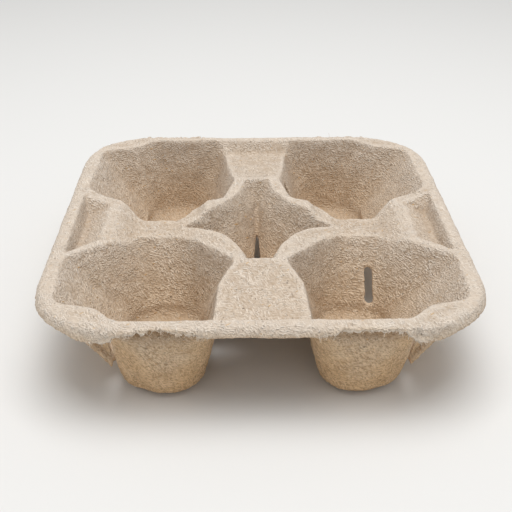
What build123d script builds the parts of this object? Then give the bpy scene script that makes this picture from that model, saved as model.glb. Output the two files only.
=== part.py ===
"""Carrier tray for four drinks cups, pressed as one sheet of moulded paper pulp.

X runs to the right, Y to the back and Z up. The tray stands on its four feet at Z = 0, with the origin
midway between them. The sheet is the solid under its upper face less the solid under its lower face. Both
come from the same functions, and grow is how far a face lies under the upper one: 0 or one wall.
"""
from build123d import *
import math
import os

# Whole tray
side = 216.0  # across the lower edge of the skirt
height = 51.0  # feet to the top of the rim
wall = 2.8  # thickness of the pressed sheet

# Rim and skirt
outer_corner_radius = 40.0  # plan corner at the lower edge of the skirt
skirt_drop = 5.5  # rim top to the lower edge of the skirt
skirt_slope = 22.0  # degrees that the skirt leans out
rim_round = 4.0  # rounding between the rim and the skirt
arch_rise = 3.0  # how far the skirt's edge rises in front of a cup
arch_width = 44.0
arch_x = 47.0

# Mouth of a cup pocket, in the upper face at the top of the rim
side_rim = 8.5  # skirt's edge to a mouth, at the left and right
end_rim = 7.5  # and at the front and back
mouth_saddle_y = 3.0
saddle_bend_x = 70.0  # where a mouth leaves the saddle to go round the hump
front_hump = (77.0, 20.0)  # corner of the hump in a front mouth
back_hump = (78.0, 21.0)  # and in a back one
hump_rim_front = 46.0  # where the hump meets the side rim
hump_rim_back = 27.0
shelf_lean = 2.0  # how far the side rim runs in before the shelf in the outer corner
shelf_start = 15.5  # front or back rim to the shelf's edge, at the side rim
shelf_width = 22.5
shelf_step = 10.5  # front or back rim to the shelf's edge, at its inner end
shelf_end = 33.0  # where the shelf runs out into the front or back rim
hump_rim_round = 15.0
hump_round = 9.0
saddle_round = 8.0
shelf_round = 8.0
step_round = 6.0
shelf_end_round = 10.0
mouth_rim_round = 9.0
mouth_ridge_round = 7.0
front_bridge_x = 21.5  # half the gap between the two front pockets, at the rim
back_bridge_x = 17.5  # and between the two back ones
front_ridge = ((19.5, 66.0), (11.5, 47.0), (34.5, 14.0))  # inner side of a front pocket, bridge to saddle
back_ridge = ((12.5, 46.0), (18.5, 22.0), (34.0, 17.0))  # inner side of a back pocket
ridge_saddle_x = 44.0  # where both meet the saddle

# Foot of a cup pocket, in the upper face where the walls start to turn into the floor
floor_side_x = 70.0
floor_bridge_x = 29.5
floor_end_y = 94.0
floor_saddle_y = 29.0
floor_outer_cut = 19.0  # cut-off corner towards the slit
floor_hump_cut = 16.0  # towards the hump
floor_inner_cut = 15.0  # and towards the well
cut_bulge = 0.3  # shares of a cut that its corner keeps
hollow_near = 0.2
hollow_mid = 0.4
hollow_far = 0.1
floor_round = 15.0
floor_inner_round = 10.0
foot_round = 7.0  # rounding from wall to floor
foot_turns = (0, 30, 60, 90)  # degrees of that rounding where the foot has a section

# Sprung flap on the outer side of each pocket, parted from the foot of a front pocket by a slit
flap_x = 69.5  # lower edge of the flap, over the foot's outer wall
flap_drop = 39.0  # rim top to the flap's lower edge
slit_width = 2.2
slit_drop = 18.0  # rim top to the slit's upper end
slit_start = 78.0  # where the slit begins on its way to the front
tongue_start = 70.0  # the flap's front end runs on under the shelf as a tongue
tongue_end = 85.0

# Bridge from the front or back rim to the well
bridge_valley_run = 5.5  # rim to the deepest line of the bridge
bridge_valley_drop = 7.0
bridge_crest_y = 46.0
bridge_crest_drop = 1.5
bridge_sag = 1.6  # how far the top hangs under a straight line from valley to crest
bridge_margin = 5.5  # how far the bridge's top runs past its edges

# Bridge from a side rim to the well: hump, saddle and ridge
hump_crest_x = 78.0
hump_crest_drop = 4.0
hump_crest_half = 21.0
scoop_drop = 9.0  # depth of the hollow between the hump and the rim
scoop_edge = 3.5  # ridge left between the hollow and a pocket
scoop_run = 5.5  # rim to the deepest line of the hollow
scoop_taper = 10.0  # how much shorter the floor is at each end
saddle_start_x = 69.0
saddle_end_x = 46.0
saddle_drop = 10.0
shoulder_x = 33.0  # the back ridge climbs slowly to a shoulder, then steeply
shoulder_drop = 6.5
back_ridge_x = 29.0  # where the back ridge reaches its height
front_ridge_x = 12.0  # and the front ridge, in one slow climb
ridge_drop = 3.0
ridge_half = 35.0

# Centre well
well_tip_x = 46.0
well_tip_y = 46.0
well_tip_half = 8.5  # half the width of the front and back tips
well_waist_x = 21.0  # middle of each hollow side
well_waist_y = 18.0
well_crease_drop = 15.0  # where the front and back tips have closed to a crease
well_crease_y = 39.0
well_crease_scale = 0.8
well_floor_drop = 45.0
well_floor_scale = 0.3
crease_half = 1.0

# Slots
saddle_slot_x = 60.0
saddle_slot_width = 3.9
saddle_slot_drop = 25.0
bridge_slot_y = 58.0
bridge_slot_width = 6.0
bridge_slot_drop = 12.0
well_slot_width = 5.0
well_slot_drop = 26.0

reach = 30.0  # how far a cut runs past the sheet

rim_top = height
half = side / 2
mouth_side_x = half - side_rim
mouth_end_y = half - end_rim
flap_fall = flap_drop / (mouth_side_x - flap_x)


def rounded_block(grow: float) -> Part:
    """Block under the rim, with round corners and a skirt that leans out."""
    low = rim_top - skirt_drop
    width = side - 2 * grow
    outline = RectangleRounded(width, width, outer_corner_radius - grow)
    block = extrude(Plane.XY.offset(low) * outline, amount=skirt_drop - grow, taper=skirt_slope)
    return fillet(block.edges().group_by(Axis.Z)[-1], rim_round - grow)


def moved_out(corners: list, amount: float) -> list:
    """Corners of a polygon after each side has moved out by the same amount."""
    moved = []
    for index, corner in enumerate(corners):
        following = corners[(index + 1) % len(corners)]
        before = (corner - corners[index - 1]).normalized()
        after = (following - corner).normalized()
        first = Vector(before.Y, -before.X)
        second = Vector(after.Y, -after.X)
        moved.append(corner + (first + second) * (amount / (1 + first.dot(second))))
    return moved


def section(points: list, radii: list, amount: float, level: float) -> Face:
    """Flat face at a level: a polygon moved out by some amount, with its corners rounded."""
    corners = [Vector(*point) for point in points]
    rounds = []
    for index, corner in enumerate(corners):
        following = corners[(index + 1) % len(corners)]
        turn = (corner - corners[index - 1]).cross(following - corner).Z
        rounds.append(radii[index] + math.copysign(1, turn) * amount)
    outline = FilletPolyline(*moved_out(corners, amount), radius=rounds, close=True)
    return Plane.XY.offset(level) * make_face(outline)


def mouth(grow: float, bridge_x: float, ridge: tuple, hump: tuple, hump_rim: float) -> Face:
    """Opening of a pocket on the right and at the back, at the top of the rim."""
    points = [
        (mouth_side_x, hump_rim),
        (mouth_side_x - shelf_lean, mouth_end_y - shelf_start),
        (mouth_side_x - shelf_width, mouth_end_y - shelf_step),
        (mouth_side_x - shelf_end, mouth_end_y),
        (bridge_x, mouth_end_y),
        *ridge,
        (ridge_saddle_x, mouth_saddle_y),
        (saddle_bend_x, mouth_saddle_y),
        hump,
    ]
    radii = [hump_rim_round, shelf_round, step_round, shelf_end_round, mouth_rim_round]
    radii += [mouth_ridge_round] * 4 + [saddle_round, hump_round]
    return section(points, radii, grow, rim_top)


def foot_section(grow: float, turn: float) -> Face:
    """Section of a foot on the right and at the back, after some degrees of the turn from wall to floor."""
    radius = foot_round + grow
    inset = radius * (1 - math.cos(math.radians(turn)))
    level = wall + foot_round - radius * math.sin(math.radians(turn))
    outer = floor_outer_cut
    inner = floor_inner_cut
    by_hump = floor_hump_cut
    points = [
        (floor_side_x, floor_saddle_y + by_hump),
        (floor_side_x, floor_end_y - outer),
        (floor_side_x - outer * cut_bulge, floor_end_y - outer * cut_bulge),
        (floor_side_x - outer, floor_end_y),
        (floor_bridge_x, floor_end_y),
        (floor_bridge_x, floor_saddle_y + inner),
        (floor_bridge_x + inner * hollow_near, floor_saddle_y + inner * hollow_mid),
        (floor_bridge_x + inner / 2, floor_saddle_y + inner * hollow_far),
        (floor_bridge_x + inner, floor_saddle_y),
        (floor_side_x - by_hump, floor_saddle_y),
        (floor_side_x - by_hump * cut_bulge, floor_saddle_y + by_hump * cut_bulge),
    ]
    radii = [floor_inner_round] + [floor_round] * 4 + [floor_inner_round] * 6
    return section(points, radii, grow - inset, level)


def flap(grow: float) -> Part:
    """Material under the sprung flap and behind the foot's outer wall, out to the rim."""
    sink = grow * math.hypot(1, flap_fall)
    inner_x = flap_x + grow
    outer_x = mouth_side_x + reach
    points = [
        (inner_x, -reach),
        (inner_x, rim_top - flap_drop + flap_fall * grow - sink),
        (outer_x, rim_top + flap_fall * reach - sink),
        (outer_x, -reach),
    ]
    profile = Plane.XZ * make_face(Polyline(*points, close=True))
    return extrude(profile, amount=-side)


def pocket(grow: float, bridge_x: float, ridge: tuple, hump: tuple, hump_rim: float) -> Part:
    """Space of a pocket on the right and at the back."""
    opening = mouth(grow, bridge_x, ridge, hump, hump_rim)
    turns = [foot_section(grow, turn) for turn in foot_turns]
    cone = loft([opening] + turns, ruled=True)
    return cone - flap(grow) + extrude(opening, amount=reach)


def pockets(grow: float) -> list:
    """Spaces of all four pockets."""
    back = pocket(grow, back_bridge_x, back_ridge, back_hump, hump_rim_back)
    front = mirror(pocket(grow, front_bridge_x, front_ridge, front_hump, hump_rim_front), Plane.XZ)
    return [back, front, mirror(back, Plane.YZ), mirror(front, Plane.YZ)]


def bridge_space(grow: float) -> Part:
    """Space over the back bridge, from the rim to the middle of the well."""
    rim_y = mouth_end_y + grow
    valley = Vector(mouth_end_y - bridge_valley_run, rim_top - bridge_valley_drop - grow)
    crest = Vector(bridge_crest_y, rim_top - bridge_crest_drop - grow)
    ridge = Vector(ridge_half, rim_top - ridge_drop - grow)
    middle = (valley + crest) / 2 - Vector(0, bridge_sag)
    over = rim_top + reach
    outline = [
        Line((rim_y, rim_top), valley),
        ThreePointArc(valley, middle, crest),
        Polyline(crest, ridge, (0, ridge.Y), (0, over), (rim_y, over), (rim_y, rim_top)),
    ]
    return extrude(Plane.YZ * make_face(outline), amount=front_bridge_x + bridge_margin, both=True)


def saddle_space(grow: float) -> Part:
    """Space over the bridge on the right: the hump beside the rim, then the saddle and the ridges."""
    rim_x = mouth_side_x + grow
    over = rim_top + reach
    low = rim_top - grow
    start = [(saddle_start_x, over), (saddle_start_x, low - saddle_drop)]
    hump_points = [
        *start,
        (hump_crest_x, low - hump_crest_drop),
        (rim_x, low),
        (rim_x, over),
    ]
    saddle_end = (saddle_end_x, low - saddle_drop)
    crest = low - bridge_crest_drop
    front_points = [*start, saddle_end, (front_ridge_x, crest), (0, crest), (0, over)]
    shoulder = (shoulder_x, low - shoulder_drop)
    ridge = low - ridge_drop
    back_points = [*start, saddle_end, shoulder, (back_ridge_x, ridge), (0, ridge), (0, over)]
    over_hump = Plane.XZ * make_face(Polyline(*hump_points, close=True))
    over_front = Plane.XZ * make_face(Polyline(*front_points, close=True))
    over_back = Plane.XZ * make_face(Polyline(*back_points, close=True))
    front = extrude(over_hump, amount=hump_rim_front) + extrude(over_front, amount=bridge_crest_y)
    back = extrude(over_hump, amount=-hump_rim_back) + extrude(over_back, amount=-ridge_half)
    return front + back


def scoop(grow: float) -> Part:
    """Hollow in the top of the hump, against the rim."""
    rim_x = mouth_side_x + grow
    edge = scoop_edge - grow
    crest_y = hump_crest_half - edge
    front_y = hump_rim_front - edge
    back_y = hump_rim_back - edge
    top = Plane.XY.offset(rim_top) * make_face(Polyline(
        (hump_crest_x, -crest_y), (rim_x, -front_y), (rim_x, back_y), (hump_crest_x, crest_y), close=True))
    floor_x = mouth_side_x - scoop_run
    bottom = Plane.XY.offset(rim_top - scoop_drop - grow) * make_face(Polyline(
        (floor_x, scoop_taper - front_y), (floor_x + wall, scoop_taper - front_y),
        (floor_x + wall, back_y - scoop_taper), (floor_x, back_y - scoop_taper), close=True))
    return loft([top, bottom], ruled=True)


def well_face(grow: float, scale: float, tip_y: float, tip_half: float, level: float) -> Face:
    """Four-pointed section of the centre well, with hollow sides."""
    tip_x = well_tip_x * scale + grow
    tip_y = tip_y + grow
    waist = (well_waist_x * scale + grow, well_waist_y * scale + grow)
    edges = []
    for sx, sy in ((1, 1), (-1, 1), (-1, -1), (1, -1)):
        start = (sx * tip_x, sy * crease_half)
        middle = (sx * waist[0], sy * waist[1])
        end = (sx * tip_half, sy * tip_y)
        edges.append(ThreePointArc(start, middle, end))
    for sign in (1, -1):
        edges.append(Line((sign * tip_x, -crease_half), (sign * tip_x, crease_half)))
        edges.append(Line((-tip_half, sign * tip_y), (tip_half, sign * tip_y)))
    return Plane.XY.offset(level) * make_face(edges)


def well(grow: float) -> Part:
    """Space of the centre well."""
    opening = well_face(grow, 1, well_tip_y, well_tip_half, rim_top)
    crease = well_face(grow, well_crease_scale, well_crease_y, crease_half, rim_top - well_crease_drop)
    floor_level = rim_top - well_floor_drop - grow
    bottom = well_face(grow, well_floor_scale, well_tip_y * well_floor_scale, crease_half, floor_level)
    return loft([opening, crease, bottom], ruled=True) + extrude(opening, amount=reach)


def pressed_form(grow: float, blank: Part) -> Part:
    """Solid under one face of the sheet, cut from a plain blank."""
    form = blank - pockets(grow)
    form -= well(grow)
    back = bridge_space(grow)
    form -= [back, mirror(back, Plane.XZ)]
    for space in (saddle_space(grow), scoop(grow)):
        form -= [space, mirror(space, Plane.YZ)]
    return form


def upper_blank() -> Part:
    """Rim block and all that stands under it."""
    depth = rim_top - skirt_drop
    return rounded_block(0) + Pos(0, 0, depth / 2) * Box(side, side, depth)


def lower_blank() -> Part:
    """Hollow of the rim block and all that lies under the skirt's edge, raised in front of each cup."""
    depth = rim_top - skirt_drop
    under = Pos(0, 0, depth / 2) * Box(side + reach, side + reach, depth)
    start = (arch_x - arch_width / 2, depth)
    end = (arch_x + arch_width / 2, depth)
    outline = [ThreePointArc(start, (arch_x, depth + arch_rise), end), Line(end, start)]
    arch = Pos(0, half, 0) * extrude(Plane.XZ * make_face(outline), amount=half - floor_end_y, both=True)
    return rounded_block(wall) + under + around(arch)


def around(shape: Part) -> list:
    """A shape at the back right and its three mirrored copies."""
    right = [shape, mirror(shape, Plane.XZ)]
    return right + [mirror(copy, Plane.YZ) for copy in right]


def tongues() -> list:
    """Front end of the flap of each front pocket."""
    sink = wall * math.hypot(1, flap_fall)
    inner = (flap_x + wall, rim_top - flap_drop + flap_fall * wall)
    outer = (mouth_side_x - wall / flap_fall / 2, rim_top - wall / 2)
    points = [inner, outer, (outer[0], outer[1] - sink), (inner[0], inner[1] - sink)]
    profile = Plane.XZ.offset(tongue_start) * make_face(Polyline(*points, close=True))
    tongue = extrude(profile, amount=tongue_end - tongue_start)
    return [tongue, mirror(tongue, Plane.YZ)]


def slits() -> list:
    """Slit between the flap and the foot of each front pocket."""
    top = rim_top - slit_drop
    run = half - slit_start
    cut = Pos(flap_x + wall / 2, -slit_start - run / 2, top / 2) * Box(slit_width, run, top)
    return [cut, mirror(cut, Plane.YZ)]


def slots() -> list:
    """Open slots in the inner walls of the pockets and in the creases of the well."""
    low = wall + foot_round
    saddle_depth = rim_top - saddle_slot_drop - low
    saddle_run = floor_saddle_y + floor_hump_cut
    saddle = Pos(saddle_slot_x, -saddle_run / 2, low + saddle_depth / 2)
    saddle *= Box(saddle_slot_width, saddle_run, saddle_depth)
    bridge_depth = rim_top - bridge_slot_drop - low
    bridge = Pos(-floor_bridge_x / 2 - wall, -bridge_slot_y, low + bridge_depth / 2)
    bridge *= Box(floor_bridge_x, bridge_slot_width, bridge_depth)
    floor_level = rim_top - well_floor_drop
    slot_half = well_slot_width / 2
    corners = [(-slot_half, floor_level), (slot_half, floor_level), (0, rim_top - well_slot_drop)]
    well_slot = extrude(Plane.XZ * make_face(Polyline(*corners, close=True)), amount=-well_tip_y)
    return [turned for slot in (saddle, bridge, well_slot) for turned in (slot, slot.rotate(Axis.Z, 180))]


tray = pressed_form(0, upper_blank()) - pressed_form(wall, lower_blank())
tray += tongues()
tray -= slits() + slots()

os.makedirs("parts", exist_ok=True)
export_step(tray, "parts/pulp_tray.step")
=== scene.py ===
"""Dresses the carrier tray for four cups, one sheet of moulded paper pulp.

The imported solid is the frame. The shell is a softened copy of it that takes its place,
and torn and loose fibres sit on the shell. All sizes are in metres, in the frame's own
axes: X to the right, Y to the back, Z up.
"""
import logging
import math
import random
from collections.abc import Callable
from dataclasses import dataclass, field
from enum import Enum

import bpy
import numpy as np
from mathutils import Matrix, Vector


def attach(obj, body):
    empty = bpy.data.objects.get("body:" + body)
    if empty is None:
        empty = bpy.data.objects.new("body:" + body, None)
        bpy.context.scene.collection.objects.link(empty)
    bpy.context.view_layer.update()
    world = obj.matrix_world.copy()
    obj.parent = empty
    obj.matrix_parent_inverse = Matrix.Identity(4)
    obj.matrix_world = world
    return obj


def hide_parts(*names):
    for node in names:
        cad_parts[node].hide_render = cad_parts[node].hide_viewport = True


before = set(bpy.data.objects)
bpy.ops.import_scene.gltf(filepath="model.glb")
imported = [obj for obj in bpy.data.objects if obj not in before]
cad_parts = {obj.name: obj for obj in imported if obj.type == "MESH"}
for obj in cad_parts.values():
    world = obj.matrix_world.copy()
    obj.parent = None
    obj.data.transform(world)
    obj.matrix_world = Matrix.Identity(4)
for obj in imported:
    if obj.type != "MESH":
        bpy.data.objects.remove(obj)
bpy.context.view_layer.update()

LOG = logging.getLogger("cup_carrier")
BODY = "root"
TRAY_NODE = "pulp_tray"
CREST = "crest"
FELT = "felt_side"
LIP = "torn_lip_and_shadow"
MM = 0.001
TORN_SEED = 11
STRAW_SEED = 23
BARK_SEED = 37

Colour = tuple[float, float, float]
Triple = tuple[float, float, float]
Span = tuple[float, float]
Socket = bpy.types.NodeSocket


class FibreTone(Enum):
    """Kinds of loose fibre that lie on the pulp."""

    STRAW = "straw"
    BARK = "bark"


@dataclass(frozen=True)
class Matting:
    """One way that packed strands run through the pulp, side by side."""

    turn: Triple
    cells: float
    stretch: float
    drift: float


@dataclass(frozen=True)
class FibreLayer:
    """One set of single fibres that run the same way over the matting."""

    turn: Triple
    cells: float
    stretch: float
    thickness: float
    share: float
    colour: Colour
    strength: float
    height: float


MATTINGS = (
    Matting(turn=(0.2, 0.5, 0.3), cells=940.0, stretch=0.25, drift=95.0),
    Matting(turn=(1.5, 0.4, 0.7), cells=1010.0, stretch=0.24, drift=110.0),
    Matting(turn=(0.6, 1.4, 1.9), cells=1080.0, stretch=0.25, drift=125.0),
)


@dataclass(frozen=True)
class PulpFinish:
    """Colours and grain of a pulp surface.

    A span gives the value at which an effect starts and the one at which it is full.
    """

    name: str
    strand_grey: Colour
    strand_warm: Colour
    # Colour between the strands, also used for the painted shade in creases.
    gap: Colour
    layers: tuple[FibreLayer, ...]
    mattings: tuple[Matting, ...] = MATTINGS
    matting_thickness: float = 0.80
    matting_height: float = 1.1
    lead_span: Span = (0.38, 0.60)
    lead_low: float = 0.35
    patch_scale: float = 38.0
    patch_span: Span = (0.35, 0.65)
    clump_scale: float = 260.0
    clump_span: Span = (0.36, 0.56)
    clump_share: float = 0.20
    clump_height: float = 0.8
    grain_scale: float = 1500.0
    grain_span: Span = (0.36, 0.58)
    grain_share: float = 0.25
    grain_height: float = 0.5
    fibre_core: float = 0.45
    # Painted highlight on edges that stand out, and painted shade in creases, both read from the
    # crest attribute.
    crest_highlight_colour: Colour = (0.84, 0.75, 0.65)
    crest_highlight_span: Span = (0.15, 1.0)
    crest_highlight_share: float = 0.30
    crease_shade_span: Span = (-0.3, -1.0)
    crease_shade_share: float = 0.26
    felt_span: Span = (0.10, 0.55)
    felt_share: float = 0.55
    # Tint on faces that look down: partly a guessed browner lower side, partly painted warm bounce
    # light and shade.
    felt_bounce_tint: Colour = (1.0, 0.86, 0.66)
    # Painted shadow of the lip on the pocket wall under it.
    lip_shadow_span: Span = (0.0, -1.0)
    lip_shadow_tint: Colour = (0.72, 0.62, 0.50)
    # Painted warm bounce light: the sheet gets warmer and darker towards the bottom.
    low_bounce_span: Span = (49 * MM, 14 * MM)
    low_bounce_tint: Colour = (0.98, 0.89, 0.77)
    # Paler torn lip: partly the real paler torn fibre, partly painted light on the lip's
    # down-facing faces, which lie in shade.
    torn_span: Span = (0.0, 1.0)
    torn_share: float = 0.60
    torn_pale_and_lit_colour: Colour = (0.97, 0.91, 0.83)
    rough_span: Span = (0.3, 0.7)
    roughness_low: float = 0.86
    roughness_high: float = 0.98
    specular: float = 0.18
    sheen: float = 0.10
    bump_strength: float = 1.0
    bump_distance: float = 0.60 * MM


PALE = (0.95, 0.88, 0.79)
DARK = (0.28, 0.20, 0.135)
STRAW = (0.60, 0.36, 0.13)
SPECK = (0.13, 0.09, 0.06)
STRAW_STREAK = (0.70, 0.53, 0.30)
BARK_STREAK = (0.28, 0.20, 0.13)


def fine_streaks(colour: Colour) -> tuple[FibreLayer, ...]:
    """Gives the faint streaks along a loose fibre in a colour."""
    return (FibreLayer(turn=(0.2, 0.5, 0.3), cells=1400.0, stretch=0.2, thickness=0.3,
                       share=0.5, colour=colour, strength=0.35, height=0.2),)


SHELL_FINISH = PulpFinish(
    name="moulded_pulp",
    strand_grey=(0.880, 0.792, 0.695),
    strand_warm=(0.900, 0.785, 0.660),
    gap=(0.430, 0.332, 0.242),
    layers=(
        FibreLayer(turn=(2.6, 1.1, 0.2), cells=620.0, stretch=0.20, thickness=0.26,
                   share=0.55, colour=PALE, strength=0.60, height=0.55),
        FibreLayer(turn=(0.9, 0.3, 2.4), cells=660.0, stretch=0.20, thickness=0.25,
                   share=0.55, colour=PALE, strength=0.60, height=0.55),
        FibreLayer(turn=(1.4, 0.0, 2.3), cells=640.0, stretch=0.24, thickness=0.24,
                   share=0.40, colour=DARK, strength=0.50, height=-0.45),
        FibreLayer(turn=(1.8, 2.3, 0.4), cells=430.0, stretch=0.22, thickness=0.20,
                   share=0.40, colour=STRAW, strength=0.66, height=0.30),
        FibreLayer(turn=(0.0, 0.0, 0.0), cells=330.0, stretch=0.80, thickness=0.19,
                   share=0.11, colour=SPECK, strength=0.80, height=-0.45),
    ),
)

TORN_FINISH = PulpFinish(
    name="torn_pulp",
    strand_grey=(0.96, 0.89, 0.80),
    strand_warm=(0.97, 0.88, 0.77),
    gap=(0.62, 0.50, 0.38),
    layers=(
        FibreLayer(turn=(0.9, 0.3, 2.4), cells=660.0, stretch=0.20, thickness=0.26,
                   share=0.60, colour=PALE, strength=0.50, height=0.40),
    ),
)

STRAW_FINISH = PulpFinish(
    name="straw_fibre",
    strand_grey=(0.56, 0.39, 0.18),
    strand_warm=(0.64, 0.43, 0.17),
    gap=(0.36, 0.23, 0.10),
    layers=fine_streaks(STRAW_STREAK),
)

BARK_FINISH = PulpFinish(
    name="bark_fleck",
    strand_grey=(0.18, 0.13, 0.09),
    strand_warm=(0.23, 0.15, 0.09),
    gap=(0.08, 0.05, 0.03),
    layers=fine_streaks(BARK_STREAK),
)


def opaque(colour: Colour | Socket) -> object:
    """Gives a colour its full alpha, and leaves a socket as it is."""
    return colour if isinstance(colour, Socket) else (*colour, 1.0)


class NodeBoard:
    """A node tree with short calls to add and join nodes."""

    noise_detail = 3.0
    noise_roughness = 0.6
    mix_factor = 0
    mix_first = 6
    mix_second = 7
    mix_result = 2

    def __init__(self, tree: bpy.types.NodeTree) -> None:
        """Keeps the tree that the nodes go into."""
        self.tree = tree

    def add(self, kind: str, inputs: dict[str | int, object] | None = None,
            **settings: object) -> bpy.types.Node:
        """Adds a node.

        Args:
            kind: the node's type name.
            inputs: values or output sockets for its inputs, by name or place.
            settings: properties of the node itself.

        Returns:
            The new node.
        """
        node = self.tree.nodes.new(kind)
        for name, value in settings.items():
            setattr(node, name, value)
        for key, value in (inputs or {}).items():
            if isinstance(value, Socket):
                self.tree.links.new(value, node.inputs[key])
            else:
                node.inputs[key].default_value = value
        return node

    def math(self, operation: str, first: object, second: object) -> Socket:
        """Joins two values by an operation and gives the result."""
        inputs = {0: first, 1: second}
        return self.add("ShaderNodeMath", inputs, operation=operation).outputs[0]

    def vector(self, operation: str, inputs: dict[str | int, object]) -> Socket:
        """Joins vectors by an operation and gives the result."""
        return self.add("ShaderNodeVectorMath", inputs, operation=operation).outputs[0]

    def heap(self, height: Socket, value: Socket, share: float) -> Socket:
        """Adds a share of a value to a height."""
        return self.math("ADD", height, self.math("MULTIPLY", value, share))

    def mix(self, factor: object, first: Colour | Socket, second: Colour | Socket,
            blend: str = "MIX") -> Socket:
        """Mixes two colours.

        Args:
            factor: share of the second colour.
            first: colour or socket.
            second: colour or socket.
            blend: how the second colour meets the first.

        Returns:
            The mixed colour.
        """
        inputs = {self.mix_factor: factor, self.mix_first: opaque(first),
                  self.mix_second: opaque(second)}
        node = self.add("ShaderNodeMix", inputs, data_type="RGBA", blend_type=blend)
        return node.outputs[self.mix_result]

    def noise(self, place: Socket, scale: float) -> Socket:
        """Gives a cloudy value between 0 and 1 at a place."""
        inputs = {"Vector": place, "Scale": scale, "Detail": self.noise_detail,
                  "Roughness": self.noise_roughness}
        return self.add("ShaderNodeTexNoise", inputs).outputs["Fac"]

    def spread(self, value: Socket, span: Span, low: float = 0.0, high: float = 1.0) -> Socket:
        """Maps a value from a span to another range.

        Args:
            value: the value to map.
            span: the values that give low and high.
            low: result at the span's start.
            high: result at the span's end.

        Returns:
            The mapped value.
        """
        start, end = span
        inputs = {"Value": value, "From Min": start, "From Max": end,
                  "To Min": low, "To Max": high}
        return self.add("ShaderNodeMapRange", inputs).outputs[0]


class FibreGroup:
    """Shader group that draws short fibres lying one way, slightly bent."""

    name = "fibre_layer"
    vectors = ("Vector", "Turn")
    values = ("Cells", "Stretch", "Core", "Thickness", "Share")
    bend_scale = 140.0
    bend_detail = 1.0
    bend_middle = (0.5, 0.5, 0.5)
    bend_reach = 2.2 * MM

    def build(self) -> bpy.types.NodeTree:
        """Makes the group once.

        Returns:
            The node group, with a mask of the fibres as its output.
        """
        tree = bpy.data.node_groups.new(self.name, "ShaderNodeTree")
        for names, kind in ((self.vectors, "NodeSocketVector"), (self.values, "NodeSocketFloat")):
            for name in names:
                tree.interface.new_socket(name, in_out="INPUT", socket_type=kind)
        tree.interface.new_socket("Mask", in_out="OUTPUT", socket_type="NodeSocketFloat")
        board = NodeBoard(tree)
        given = board.add("NodeGroupInput").outputs
        bent = self.bend(board, given["Vector"])
        turned = board.add("ShaderNodeVectorRotate", {"Vector": bent, "Rotation": given["Turn"]},
                           rotation_type="EULER_XYZ")
        along = board.math("MULTIPLY", given["Cells"], given["Stretch"])
        sizes = board.add("ShaderNodeCombineXYZ",
                          {"X": given["Cells"], "Y": given["Cells"], "Z": along})
        scaled = board.vector("MULTIPLY", {0: turned.outputs[0], 1: sizes.outputs[0]})
        cells = board.add("ShaderNodeTexVoronoi", {"Vector": scaled, "Scale": 1.0})
        fall = board.add("ShaderNodeMapRange",
                         {"Value": cells.outputs["Distance"], "From Min": given["Core"],
                          "From Max": given["Thickness"], "To Min": 1.0, "To Max": 0.0},
                         interpolation_type="SMOOTHSTEP")
        draw = board.add("ShaderNodeSeparateColor", {"Color": cells.outputs["Color"]})
        kept = board.math("LESS_THAN", draw.outputs[0], given["Share"])
        board.add("NodeGroupOutput", {"Mask": board.math("MULTIPLY", fall.outputs[0], kept)})
        return tree

    def bend(self, board: NodeBoard, place: Socket) -> Socket:
        """Shifts the coordinates a little, so that the fibres wander.

        Args:
            board: where the nodes go.
            place: coordinates of the surface.

        Returns:
            The shifted coordinates.
        """
        noise = board.add("ShaderNodeTexNoise", {"Vector": place, "Scale": self.bend_scale,
                                                 "Detail": self.bend_detail})
        centred = board.vector("SUBTRACT", {0: noise.outputs["Color"], 1: self.bend_middle})
        reach = board.vector("SCALE", {0: centred, "Scale": self.bend_reach})
        return board.vector("ADD", {0: place, 1: reach})


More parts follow.
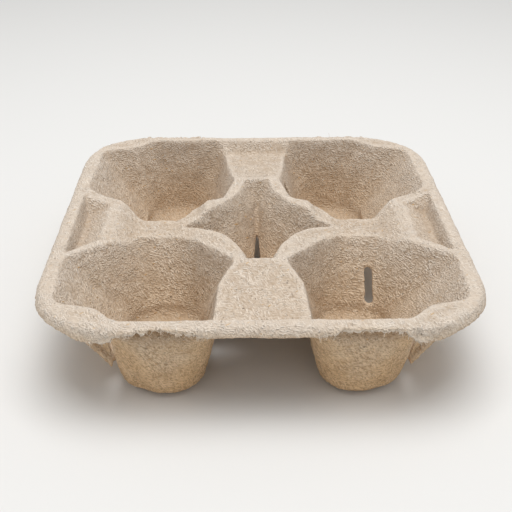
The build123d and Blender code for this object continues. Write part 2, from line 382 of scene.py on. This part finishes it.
class PulpMaterial:
    """Builds the node material of one pulp finish."""

    def __init__(self, fibres: bpy.types.NodeTree, finish: PulpFinish) -> None:
        """Starts the material.

        Args:
            fibres: the fibre group that every finish uses.
            finish: colours and grain of the surface.
        """
        self.fibres = fibres
        self.finish = finish
        self.material = bpy.data.materials.new(finish.name)
        self.material.use_nodes = True
        self.board = NodeBoard(self.material.node_tree)
        self.place = self.board.add("ShaderNodeTexCoord").outputs["Object"]

    def build(self) -> bpy.types.Material:
        """Makes the material.

        Returns:
            The material, with its colour, roughness and bump from its nodes.
        """
        finish, board = self.finish, self.board
        patch = board.noise(self.place, finish.patch_scale)
        clump = board.noise(self.place, finish.clump_scale)
        grain = board.noise(self.place, finish.grain_scale)
        matted = self.matting()
        warm = board.spread(patch, finish.patch_span)
        colour = board.mix(warm, finish.strand_grey, finish.strand_warm)
        colour = board.mix(matted, finish.gap, colour)
        for cloud, span, share in ((clump, finish.clump_span, finish.clump_share),
                                   (grain, finish.grain_span, finish.grain_share)):
            colour = board.mix(board.spread(cloud, span, share, 0.0), colour, finish.gap)
        height = board.math("MULTIPLY", grain, finish.grain_height)
        height = board.heap(height, clump, finish.clump_height)
        height = board.heap(height, matted, finish.matting_height)
        colour, height = self.lay_fibres(colour, height)
        colour = self.tint_lip(self.tint_felt_and_bounce(self.paint_edge_highlight_and_crease_shade(colour), matted))
        rough = board.spread(grain, finish.rough_span, finish.roughness_low, finish.roughness_high)
        self.connect(colour, rough, height)
        return self.material

    def fibre(self, values: dict[str, object]) -> Socket:
        """Adds a fibre group.

        Args:
            values: its settings by socket name.

        Returns:
            The mask of its fibres.
        """
        inputs = {"Vector": self.place, **values}
        return self.board.add("ShaderNodeGroup", inputs, node_tree=self.fibres).outputs["Mask"]

    def mark(self, name: str) -> Socket:
        """Reads one of the shell's point attributes."""
        return self.board.add("ShaderNodeAttribute", attribute_name=name).outputs["Fac"]

    def matting(self) -> Socket:
        """Packs strands over the whole surface, so that in each patch another way leads.

        Returns:
            1 along the middle of a strand, 0 between strands.
        """
        finish, board = self.finish, self.board
        packed = 0.0
        for way in finish.mattings:
            mask = self.fibre({"Turn": way.turn, "Cells": way.cells, "Stretch": way.stretch,
                               "Core": 0.0, "Thickness": finish.matting_thickness, "Share": 1.0})
            drift = board.noise(self.place, way.drift)
            lead = board.spread(drift, finish.lead_span, finish.lead_low)
            packed = board.math("MAXIMUM", packed, board.math("MULTIPLY", mask, lead))
        return packed

    def lay_fibres(self, colour: Socket, height: Socket) -> tuple[Socket, Socket]:
        """Lays the single fibres over the matting.

        Args:
            colour: colour of the matting.
            height: height of the matting.

        Returns:
            Colour and height with the fibres.
        """
        board = self.board
        for layer in self.finish.layers:
            mask = self.fibre({"Turn": layer.turn, "Cells": layer.cells, "Stretch": layer.stretch,
                               "Core": layer.thickness * self.finish.fibre_core,
                               "Thickness": layer.thickness, "Share": layer.share})
            colour = board.mix(board.math("MULTIPLY", mask, layer.strength), colour, layer.colour)
            height = board.heap(height, mask, layer.height)
        return colour, height

    def paint_edge_highlight_and_crease_shade(self, colour: Socket) -> Socket:
        """Paints a highlight on the edges that stand out and paints shade into the creases."""
        finish, board = self.finish, self.board
        crest = self.mark(CREST)
        # Painted highlight on convex edges.
        edge = board.spread(crest, finish.crest_highlight_span, 0.0, finish.crest_highlight_share)
        colour = board.mix(edge, colour, finish.crest_highlight_colour)
        # Painted shade in concave creases, in the strand-gap colour.
        crease_shade_mask = board.spread(crest, finish.crease_shade_span, 0.0, finish.crease_shade_share)
        return board.mix(crease_shade_mask, colour, finish.gap)

    def tint_felt_and_bounce(self, colour: Socket, matted: Socket) -> Socket:
        """Makes the sheet's lower side browner, with clearer strands. The brown tint is partly a
        guessed real difference of that side and partly painted warm bounce light and shade on the
        faces that look down.

        Args:
            colour: colour of the upper side.
            matted: the matting's strands.

        Returns:
            The colour of both sides.
        """
        finish, board = self.finish, self.board
        felt = self.mark(FELT)
        strands = board.mix(board.spread(matted, finish.felt_span), finish.gap, finish.strand_warm)
        colour = board.mix(board.math("MULTIPLY", felt, finish.felt_share), colour, strands)
        # Partly painted warm bounce light and shade on down-facing faces, partly a guessed browner
        # lower side.
        return board.mix(felt, colour, finish.felt_bounce_tint, "MULTIPLY")

    def tint_lip(self, colour: Socket) -> Socket:
        """Paints the lip's shadow on the wall under it, paints warm bounce light towards the
        bottom, and makes the torn lip paler, partly as torn fibre and partly as painted light on
        its down-facing faces.
        """
        finish, board = self.finish, self.board
        lip = self.mark(LIP)
        # Painted shadow of the lip on the wall under it.
        lip_shadow = board.spread(lip, finish.lip_shadow_span)
        colour = board.mix(lip_shadow, colour, finish.lip_shadow_tint, "MULTIPLY")
        # Painted warm bounce light, warmer and darker towards the bottom.
        level = board.add("ShaderNodeSeparateXYZ", {0: self.place}).outputs["Z"]
        low = board.spread(level, finish.low_bounce_span)
        colour = board.mix(low, colour, finish.low_bounce_tint, "MULTIPLY")
        # Partly real paler torn fibre, partly painted light on the lip's down-facing faces.
        torn = board.spread(lip, finish.torn_span, 0.0, finish.torn_share)
        return board.mix(torn, colour, finish.torn_pale_and_lit_colour)

    def connect(self, colour: Socket, rough: Socket, height: Socket) -> None:
        """Joins the nodes to the shader.

        Args:
            colour: colour of the surface.
            rough: its roughness.
            height: its height, for the bump.
        """
        finish = self.finish
        bump = self.board.add("ShaderNodeBump", {"Strength": finish.bump_strength,
                                                 "Distance": finish.bump_distance,
                                                 "Height": height})
        shader = self.material.node_tree.nodes["Principled BSDF"]
        links = self.material.node_tree.links
        links.new(colour, shader.inputs["Base Color"])
        links.new(rough, shader.inputs["Roughness"])
        links.new(bump.outputs["Normal"], shader.inputs["Normal"])
        shader.inputs["Specular IOR Level"].default_value = finish.specular
        shader.inputs["Sheen Weight"].default_value = finish.sheen


def pick_only(piece: bpy.types.Object) -> None:
    """Deselects everything, then selects one object and makes it active."""
    bpy.ops.object.select_all(action="DESELECT")
    piece.select_set(True)
    bpy.context.view_layer.objects.active = piece


def ramp(value: float, start: float, end: float) -> float:
    """Smooth step from 0 at start to 1 at end."""
    share = min(max((value - start) / (end - start), 0.0), 1.0)
    return share * share * (3 - 2 * share)


@dataclass
class PulpShell:
    """The moulded sheet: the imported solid, softened like pressed pulp."""

    merge_reach: float = 0.002 * MM
    voxel: float = 0.80 * MM
    soften_rounds: int = 3
    soften_share: float = 0.5
    most_triangles: int = 190_000
    foot_flat: float = 0.6 * MM
    foot_rough: float = 4 * MM
    cloud_depth: int = 2
    swell_size: float = 13 * MM
    swell_reach: float = 0.9 * MM
    lump_size: float = 3.0 * MM
    lump_reach: float = 0.6 * MM
    grit_size: float = 1.3 * MM
    grit_reach: float = 0.35 * MM
    skirt_y: float = 99.5 * MM
    skirt_gap: float = 4.5 * MM
    skirt_top: float = 50.0 * MM
    skirt_edge: float = 45.5 * MM
    skirt_low: float = 38 * MM
    lip_top: float = 51.0 * MM
    lip_edge: float = 48.2 * MM
    lip_facing_out: float = 0.25
    lip_facing_down: float = -0.35
    tab_outer_x: float = 92 * MM
    tab_full_x: float = 79 * MM
    tab_inner_x: float = 70 * MM
    tab_end_x: float = 63 * MM
    tab_drop: float = 2.8 * MM
    wall_y: float = 90 * MM
    wall_facing: float = 0.5
    groove_y: float = 97 * MM
    groove_low: float = 40 * MM
    groove_high: float = 46 * MM
    groove_depth: float = 1.4 * MM
    # The painted shadow of the lip fades out between these heights.
    lip_shadow_low: float = 35 * MM
    lip_shadow_high: float = 45 * MM
    tear_start_x: float = 20 * MM
    tear_end_x: float = 80 * MM
    tear_fade: float = 8 * MM
    tear_size: float = 2.8 * MM
    tear_reach: float = 5.0 * MM
    tear_level: float = 0.64
    tear_shares: tuple[tuple[str, float], ...] = (("Z", -1.0), ("X", 0.4))
    tear_swell: float = 1.6 * MM
    tear_swell_level: float = 0.1
    crest_rounds: int = 6
    crest_soften_rounds: int = 2
    crest_gain: float = 3.0
    felt_gain: float = 4.0
    felt_rounds: int = 4
    piece: bpy.types.Object | None = field(default=None, init=False)

    def build(self, material: bpy.types.Material) -> bpy.types.Object:
        """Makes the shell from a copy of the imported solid.

        Args:
            material: finish of the pulp.

        Returns:
            The finished shell.
        """
        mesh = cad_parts[TRAY_NODE].data.copy()
        self.piece = bpy.data.objects.new("pulp_shell", mesh)
        bpy.context.scene.collection.objects.link(self.piece)
        pick_only(self.piece)
        self.merge()
        self.press()
        self.tear_skirt()
        self.roughen()
        self.thin_out()
        self.mark_crests()
        self.mark_lip()
        bpy.ops.object.shade_smooth()
        mesh.materials.clear()
        mesh.materials.append(material)
        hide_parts(TRAY_NODE)
        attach(self.piece, BODY)
        return self.piece

    def merge(self) -> None:
        """Joins the loose triangles of the copy into one closed skin."""
        bpy.ops.object.mode_set(mode="EDIT")
        bpy.ops.mesh.select_all(action="SELECT")
        bpy.ops.mesh.remove_doubles(threshold=self.merge_reach)
        bpy.ops.object.mode_set(mode="OBJECT")

    def press(self) -> None:
        """Divides the skin evenly and rounds its edges, as pulp leaves a mould."""
        remesh = self.piece.modifiers.new("even_skin", "REMESH")
        remesh.mode = "VOXEL"
        remesh.voxel_size = self.voxel
        bpy.ops.object.modifier_apply(modifier=remesh.name)
        smooth = self.piece.modifiers.new("soft_edges", "SMOOTH")
        smooth.factor = self.soften_share
        smooth.iterations = self.soften_rounds
        bpy.ops.object.modifier_apply(modifier=smooth.name)

    def tear_skirt(self) -> None:
        """Lowers the skirt beside each slit, undercuts the lip and frays it outside each cup."""
        self.weigh("skirt_tab", self.tab_weight)
        self.shift("skirt_tab", "Z", -self.tab_drop)
        self.weigh("groove", self.groove_weight)
        self.shift("groove", "NORMAL", -self.groove_depth)
        self.weigh("torn_edge", self.tear_weight)
        for direction, share in self.tear_shares:
            self.displace("torn_edge_" + direction, self.tear_size, self.tear_reach * share,
                          direction, "torn_edge", self.tear_level)
        self.displace("torn_swell", self.tear_size, self.tear_swell,
                      "NORMAL", "torn_edge", self.tear_swell_level)

    def roughen(self) -> None:
        """Gives the sheet its uneven thickness, lumps and grit, and leaves the feet flat."""
        self.weigh("off_floor", lambda point, _: ramp(point.z, self.foot_flat, self.foot_rough))
        self.displace("swell", self.swell_size, self.swell_reach, "NORMAL", "off_floor")
        self.displace("lumps", self.lump_size, self.lump_reach, "NORMAL", "off_floor")
        self.displace("grit", self.grit_size, self.grit_reach, "NORMAL", "off_floor")

    def thin_out(self) -> None:
        """Merges small faces where the skin is smooth, and drops the groups that shaped it."""
        triangles = sum(len(face.vertices) - 2 for face in self.piece.data.polygons)
        if triangles > self.most_triangles:
            thin = self.piece.modifiers.new("thin_out", "DECIMATE")
            thin.ratio = self.most_triangles / triangles
            bpy.ops.object.modifier_apply(modifier=thin.name)
        self.piece.vertex_groups.clear()

    def mark_crests(self) -> None:
        """Stores how far each point stands out or lies in, and which side is the lower one."""
        mesh = self.piece.data
        count = len(mesh.vertices)
        places = self.read_points("co")
        normals = self.read_points("normal")
        ends = np.empty(len(mesh.edges) * 2, dtype=np.int64)
        mesh.edges.foreach_get("vertices", ends)
        first, second = ends.reshape(-1, 2).T
        ways = np.bincount(first, minlength=count) + np.bincount(second, minlength=count)

        def around(values: np.ndarray) -> np.ndarray:
            """Mean of the neighbours' values at each point."""
            total = (np.bincount(first, values[second], count)
                     + np.bincount(second, values[first], count))
            return total / np.maximum(ways, 1)

        soft = places.copy()
        for _ in range(self.crest_rounds):
            soft = np.stack([around(column) for column in soft.T], axis=1)
        crest = ((places - soft) * normals).sum(axis=1) / MM
        for _ in range(self.crest_soften_rounds):
            crest = (crest + around(crest)) / 2
        felt = np.clip(-normals[:, 2] * self.felt_gain, 0, 1)
        for _ in range(self.felt_rounds):
            felt = around(felt)
        self.store(CREST, np.clip(crest * self.crest_gain, -1, 1))
        self.store(FELT, felt)

    def mark_lip(self) -> None:
        """Stores where the lip is torn, as 1, and where the wall under it takes the painted shadow
        of the lip, as -1.
        """
        values = []
        for vertex in self.piece.data.vertices:
            place, normal = vertex.co, vertex.normal
            # The pale torn colour goes only on faces that look down, where it partly stands in for
            # light.
            facing = ramp(normal.z, self.lip_facing_out, self.lip_facing_down)
            torn = self.tear_weight(place, normal) * facing
            values.append(torn - self.lip_shadow_weight(place, normal))
        self.store(LIP, np.array(values))

    def read_points(self, name: str) -> np.ndarray:
        """Reads a vector at each point of the skin, one row each."""
        vertices = self.piece.data.vertices
        values = np.empty(len(vertices) * 3)
        vertices.foreach_get(name, values)
        return values.reshape(-1, 3)

    def store(self, name: str, values: np.ndarray) -> None:
        """Stores a value at each point of the skin as an attribute."""
        layer = self.piece.data.attributes.new(name, "FLOAT", "POINT")
        layer.data.foreach_set("value", values.astype(np.float32))

    def shift(self, group: str, direction: str, reach: float) -> None:
        """Moves the points of a vertex group.

        Args:
            group: the vertex group, whose weights scale the move.
            direction: axis of the move, or NORMAL.
            reach: length of the whole move.
        """
        move = self.piece.modifiers.new(group, "DISPLACE")
        move.direction = direction
        move.vertex_group = group
        move.mid_level = 0.0
        move.strength = reach
        bpy.ops.object.modifier_apply(modifier=move.name)

    def displace(self, name: str, size: float, reach: float, direction: str, group: str,
                 level: float = 0.5) -> None:
        """Moves the skin by a cloud pattern.

        Args:
            name: name of the pattern.
            size: size of its clouds.
            reach: span of the move from the lowest to the highest.
            direction: axis of the move, or NORMAL.
            group: vertex group that limits it.
            level: cloud value that doesn't move.
        """
        cloud = bpy.data.textures.new(name, "CLOUDS")
        cloud.noise_scale = size
        cloud.noise_depth = self.cloud_depth
        move = self.piece.modifiers.new(name, "DISPLACE")
        move.texture = cloud
        move.texture_coords = "LOCAL"
        move.direction = direction
        move.strength = reach
        move.mid_level = level
        move.vertex_group = group
        bpy.ops.object.modifier_apply(modifier=move.name)

    def weigh(self, name: str, weight: Callable[[Vector, Vector], float]) -> None:
        """Fills a vertex group.

        Args:
            name: name of the group.
            weight: function that gives the weight at a point from its place and its normal.
        """
        group = self.piece.vertex_groups.new(name=name)
        for vertex in self.piece.data.vertices:
            share = weight(vertex.co, vertex.normal)
            if share > 0:
                group.add([vertex.index], share, "REPLACE")

    def tab_weight(self, point: Vector, _: Vector) -> float:
        """Share of the tab's drop at a point of the skirt."""
        if abs(point.y) < self.skirt_y:
            return 0.0
        low = 1 - ramp(point.z, self.skirt_edge, self.skirt_top)
        across = abs(point.x)
        inner = ramp(across, self.tab_end_x, self.tab_inner_x)
        return low * inner * (1 - ramp(across, self.tab_full_x, self.tab_outer_x))

    def groove_weight(self, point: Vector, normal: Vector) -> float:
        """Share of the groove's depth at a point of a pocket's outer wall, close under the lip."""
        if abs(point.y) < self.groove_y:
            return 0.0
        return ramp(point.z, self.groove_low, self.groove_high) * self.wall_weight(point, normal)

    def lip_shadow_weight(self, point: Vector, normal: Vector) -> float:
        """Share of the painted lip shadow at a point of a pocket's outer wall, which fades
        downwards.
        """
        high = ramp(point.z, self.lip_shadow_low, self.lip_shadow_high)
        return high * self.wall_weight(point, normal)

    def wall_weight(self, point: Vector, normal: Vector) -> float:
        """Tells, from 0 to 1, whether a point is on a pocket's outer wall behind the torn lip."""
        outward = normal.y * math.copysign(1.0, point.y)
        behind_lip = self.wall_y < abs(point.y) < self.skirt_y + self.skirt_gap
        if outward < self.wall_facing or not behind_lip:
            return 0.0
        near, far = self.tear_ends(point)
        return near * far

    def tear_weight(self, point: Vector, _: Vector) -> float:
        """Share of the fraying at a point of the skirt."""
        if abs(point.y) < self.skirt_y + self.skirt_gap or point.z < self.skirt_low:
            return 0.0
        low = 1 - ramp(point.z, self.lip_edge, self.lip_top)
        near, far = self.tear_ends(point)
        return low * near * far

    def tear_ends(self, point: Vector) -> tuple[float, float]:
        """Shares left at a point where the torn stretch fades, at its near and its far end."""
        across = abs(point.x)
        near = ramp(across, self.tear_start_x, self.tear_start_x + self.tear_fade)
        return near, 1 - ramp(across, self.tear_end_x - self.tear_fade, self.tear_end_x)


@dataclass
class Strand:
    """A single fibre: a thin tapered thread that bends as it goes."""

    sides: int = 5
    joints: int = 5
    radius: float = 0.30 * MM
    length: float = 3.0 * MM
    taper: float = 0.8
    lean: float = 0.5
    bend: float = 0.45

    def build(self, name: str, draw: random.Random) -> bpy.types.Mesh:
        """Models one fibre from a small disc, extruded joint by joint.

        Args:
            name: name of its mesh.
            draw: source of its bends.

        Returns:
            The fibre's mesh, which starts at the origin and grows along Z.
        """
        bpy.ops.object.select_all(action="DESELECT")
        bpy.ops.mesh.primitive_circle_add(vertices=self.sides, radius=self.radius,
                                          fill_type="NGON")
        piece = bpy.context.active_object
        piece.name = name
        bpy.ops.object.mode_set(mode="EDIT")
        bpy.ops.mesh.select_mode(type="FACE")
        bpy.ops.mesh.select_all(action="SELECT")
        step = self.length / self.joints
        lean_x = draw.uniform(-self.lean, self.lean)
        lean_y = draw.uniform(-self.lean, self.lean)
        for _ in range(self.joints):
            lean_x += draw.uniform(-self.bend, self.bend)
            lean_y += draw.uniform(-self.bend, self.bend)
            bpy.ops.mesh.extrude_region_move(
                TRANSFORM_OT_translate={"value": (step * lean_x, step * lean_y, step)})
            bpy.ops.transform.resize(value=(self.taper, self.taper, self.taper))
        bpy.ops.mesh.select_all(action="SELECT")
        bpy.ops.mesh.normals_make_consistent(inside=False)
        bpy.ops.object.mode_set(mode="OBJECT")
        bpy.ops.object.shade_smooth()
        mesh = piece.data
        bpy.data.objects.remove(piece)
        return mesh


@dataclass
class Crumb:
    """A small uneven lump of pulp."""

    radius: float = 1.0 * MM
    uneven: float = 0.4 * MM
    seeds: int = 1000
    stretches: tuple[Span, Span, Span] = ((0.7, 1.5), (0.6, 1.1), (0.7, 1.4))

    def build(self, name: str, draw: random.Random) -> bpy.types.Mesh:
        """Models one crumb from a coarse ball with its points pushed about.

        Args:
            name: name of its mesh.
            draw: source of its shape.

        Returns:
            The crumb's mesh, with the origin in its middle.
        """
        bpy.ops.object.select_all(action="DESELECT")
        bpy.ops.mesh.primitive_ico_sphere_add(subdivisions=1, radius=self.radius)
        piece = bpy.context.active_object
        piece.name = name
        bpy.ops.object.mode_set(mode="EDIT")
        bpy.ops.mesh.select_all(action="SELECT")
        bpy.ops.transform.vertex_random(offset=self.uneven, seed=draw.randrange(self.seeds))
        bpy.ops.transform.resize(value=tuple(draw.uniform(*span) for span in self.stretches))
        bpy.ops.object.mode_set(mode="OBJECT")
        bpy.ops.object.shade_smooth()
        mesh = piece.data
        bpy.data.objects.remove(piece)
        return mesh


LOOSE_STRANDS = {
    FibreTone.STRAW: Strand(radius=0.10 * MM, length=3.0 * MM),
    FibreTone.BARK: Strand(radius=0.16 * MM, length=0.9 * MM),
}


@dataclass
class FibreCoat:
    """Small bits that stand out of the shell at its torn edges or lie on its faces."""

    shell: bpy.types.Object
    draw: random.Random
    kinds: list[bpy.types.Mesh] = field(default_factory=list)

    def model(self, maker: Strand | Crumb, count: int) -> None:
        """Models the few bits that all others are copies of."""
        self.kinds = [maker.build(f"bit_{number}", self.draw) for number in range(count)]

    def place(self, spot: Vector, aim: Vector, scale: float) -> bpy.types.Object:
        """Puts a copy of a bit at a spot.

        Args:
            spot: where it starts.
            aim: the way it grows.
            scale: its size against the model's.

        Returns:
            The copy, with its place in its own mesh.
        """
        mesh = self.draw.choice(self.kinds).copy()
        turn = aim.to_track_quat("Z", "Y").to_matrix().to_4x4()
        spin = Matrix.Rotation(self.draw.uniform(0, math.tau), 4, "Z")
        mesh.transform(Matrix.Translation(spot) @ turn @ spin @ Matrix.Scale(scale, 4))
        copy = bpy.data.objects.new("fibre_copy", mesh)
        bpy.context.scene.collection.objects.link(copy)
        return copy

    def join(self, copies: list[bpy.types.Object], name: str,
             material: bpy.types.Material) -> bpy.types.Object:
        """Joins the copies into one piece and dresses it.

        Args:
            copies: the bits.
            name: name of the piece.
            material: their finish.

        Returns:
            The joined piece, riding on the tray.
        """
        bpy.ops.object.select_all(action="DESELECT")
        for copy in copies:
            copy.select_set(True)
        bpy.context.view_layer.objects.active = copies[0]
        bpy.ops.object.join()
        piece = bpy.context.active_object
        piece.name = name
        piece.data.name = name
        piece.data.materials.clear()
        piece.data.materials.append(material)
        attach(piece, BODY)
        return piece


@dataclass
class TornEdge(FibreCoat):
    """Tufts and crumbs along the skirt's lower edge, outside each cup at the front and back."""

    tufts: int = 360
    tuft_kinds: int = 7
    tuft_scales: Span = (0.35, 0.8)
    stray_across: Span = (-1.2, 1.2)
    stray_out: Span = (0.2, 1.2)
    stray_up: Span = (-0.8, 0.1)
    crumbs: int = 330
    crumb_kinds: int = 5
    crumb_scales: Span = (0.35, 0.9)
    edge_y: float = 105.0 * MM
    low: float = 41 * MM
    high: float = 49.5 * MM
    start_x: float = 24 * MM
    end_x: float = 80 * MM
    facing_down: float = -0.15
    sink: float = 0.25 * MM

    def grow_tufts(self, material: bpy.types.Material) -> bpy.types.Object:
        """Grows the tufts out of the edge.

        Args:
            material: finish of the torn pulp.

        Returns:
            All tufts as one piece.
        """
        self.model(Strand(), self.tuft_kinds)
        edge = self.edge()
        copies = []
        for _ in range(self.tufts):
            vertex = self.draw.choice(edge)
            side = math.copysign(1.0, vertex.co.y)
            stray = Vector((self.draw.uniform(*self.stray_across),
                            self.draw.uniform(*self.stray_out) * side,
                            self.draw.uniform(*self.stray_up)))
            spot = vertex.co - self.sink * vertex.normal
            scale = self.draw.uniform(*self.tuft_scales)
            copies.append(self.place(spot, vertex.normal + stray, scale))
        return self.join(copies, "torn_fibres", material)

    def stick_crumbs(self, material: bpy.types.Material) -> bpy.types.Object:
        """Sticks crumbs to the edge.

        Args:
            material: finish of the torn pulp.

        Returns:
            All crumbs as one piece.
        """
        self.model(Crumb(), self.crumb_kinds)
        edge = self.edge()
        copies = []
        for _ in range(self.crumbs):
            vertex = self.draw.choice(edge)
            spot = vertex.co - self.sink * vertex.normal
            scale = self.draw.uniform(*self.crumb_scales)
            copies.append(self.place(spot, vertex.normal, scale))
        return self.join(copies, "torn_crumbs", material)

    def edge(self) -> list[bpy.types.MeshVertex]:
        """Points of the shell on the torn edge."""
        return [vertex for vertex in self.shell.data.vertices if self.on_edge(vertex)]

    def on_edge(self, vertex: bpy.types.MeshVertex) -> bool:
        """Tells whether a vertex is on the torn edge."""
        place = vertex.co
        if abs(place.y) < self.edge_y or not self.low < place.z < self.high:
            return False
        return self.start_x < abs(place.x) < self.end_x and vertex.normal.z < self.facing_down


@dataclass
class LooseFibres(FibreCoat):
    """Single fibres and flecks that lie in the faces of the sheet."""

    count: int = 160
    fibre_kinds: int = 5
    scales: Span = (0.5, 1.3)
    tilt: float = 0.06
    sink: float = 0.12 * MM
    lowest: float = 4 * MM
    facing_down: float = -0.5

    def build(self, tone: FibreTone, material: bpy.types.Material) -> bpy.types.Object:
        """Scatters one kind of fibre over the sheet.

        Args:
            tone: the kind of fibre.
            material: its finish.

        Returns:
            All fibres of that kind as one piece.
        """
        self.model(LOOSE_STRANDS[tone], self.fibre_kinds)
        vertices = [vertex for vertex in self.shell.data.vertices
                    if vertex.co.z > self.lowest and vertex.normal.z > self.facing_down]
        copies = []
        for _ in range(self.count):
            vertex = self.draw.choice(vertices)
            across = vertex.normal.orthogonal().normalized()
            across.rotate(Matrix.Rotation(self.draw.uniform(0, math.tau), 3, vertex.normal))
            aim = across - self.tilt * vertex.normal
            spot = vertex.co - self.sink * vertex.normal
            copies.append(self.place(spot, aim, self.draw.uniform(*self.scales)))
        return self.join(copies, f"{tone.value}_fibres", material)


@dataclass
class Studio:
    """Plain floor, soft light and the camera."""

    floor_half: float = 4.0
    floor_colour: Colour = (0.74, 0.735, 0.72)
    floor_roughness: float = 0.9
    floor_specular: float = 0.1
    lens: float = 55.7
    near_clip: float = 0.01
    camera_place: Triple = (-10.2 * MM, -385.7 * MM, 258 * MM)
    camera_pitch: float = 31.4
    camera_yaw: float = 1.346
    camera_roll: float = 0.286
    sky_colour: Colour = (1.0, 1.0, 1.0)
    sky_strength: float = 0.55
    key_place: Triple = (0.03, -0.03, 1.2)
    key_size: float = 0.9
    key_power: float = 12.0

    def build(self) -> None:
        """Sets up everything around the object."""
        self.lay_floor()
        self.light()
        self.aim_camera()
        bpy.context.scene.view_settings.view_transform = "Standard"

    def lay_floor(self) -> None:
        """Makes the floor, pale and matt."""
        bpy.ops.object.select_all(action="DESELECT")
        bpy.ops.mesh.primitive_plane_add(size=2 * self.floor_half)
        floor = bpy.context.active_object
        floor.name = "studio_floor"
        material = bpy.data.materials.new("studio_floor")
        material.use_nodes = True
        shader = material.node_tree.nodes["Principled BSDF"]
        shader.inputs["Base Color"].default_value = opaque(self.floor_colour)
        shader.inputs["Roughness"].default_value = self.floor_roughness
        shader.inputs["Specular IOR Level"].default_value = self.floor_specular
        floor.data.materials.append(material)

    def light(self) -> None:
        """Hangs one large lamp over the tray and fills in with an even sky."""
        world = bpy.data.worlds.new("studio")
        world.use_nodes = True
        sky = world.node_tree.nodes["Background"].inputs
        sky["Color"].default_value = opaque(self.sky_colour)
        sky["Strength"].default_value = self.sky_strength
        bpy.context.scene.world = world
        lamp = bpy.data.lights.new("key", "AREA")
        lamp.size = self.key_size
        lamp.energy = self.key_power
        key = bpy.data.objects.new("key", lamp)
        key.location = self.key_place
        key.rotation_euler = (-Vector(self.key_place)).to_track_quat("-Z", "Y").to_euler()
        bpy.context.scene.collection.objects.link(key)

    def aim_camera(self) -> None:
        """Puts the camera where the photograph was taken from."""
        data = bpy.data.cameras.new("photo_view")
        data.lens = self.lens
        data.clip_start = self.near_clip
        camera = bpy.data.objects.new("photo_view", data)
        turn = Matrix.Rotation(-math.radians(self.camera_yaw), 4, "Z")
        turn = turn @ Matrix.Rotation(math.radians(90 - self.camera_pitch), 4, "X")
        turn = turn @ Matrix.Rotation(math.radians(self.camera_roll), 4, "Z")
        camera.matrix_world = Matrix.Translation(self.camera_place) @ turn
        bpy.context.scene.collection.objects.link(camera)
        bpy.context.scene.camera = camera


def tell(piece: bpy.types.Object) -> None:
    """Reports a finished piece."""
    LOG.info("%s: %d faces", piece.name, len(piece.data.polygons))


def main() -> None:
    """Builds the studio and each piece in turn."""
    logging.basicConfig(level=logging.INFO, format="%(message)s")
    Studio().build()
    fibres = FibreGroup().build()
    shell = PulpShell().build(PulpMaterial(fibres, SHELL_FINISH).build())
    tell(shell)
    torn_pulp = PulpMaterial(fibres, TORN_FINISH).build()
    torn = TornEdge(shell, random.Random(TORN_SEED))
    tell(torn.grow_tufts(torn_pulp))
    tell(torn.stick_crumbs(torn_pulp))
    for tone, seed, finish in ((FibreTone.STRAW, STRAW_SEED, STRAW_FINISH),
                               (FibreTone.BARK, BARK_SEED, BARK_FINISH)):
        material = PulpMaterial(fibres, finish).build()
        tell(LooseFibres(shell, random.Random(seed)).build(tone, material))


if __name__ == "__main__":
    main()
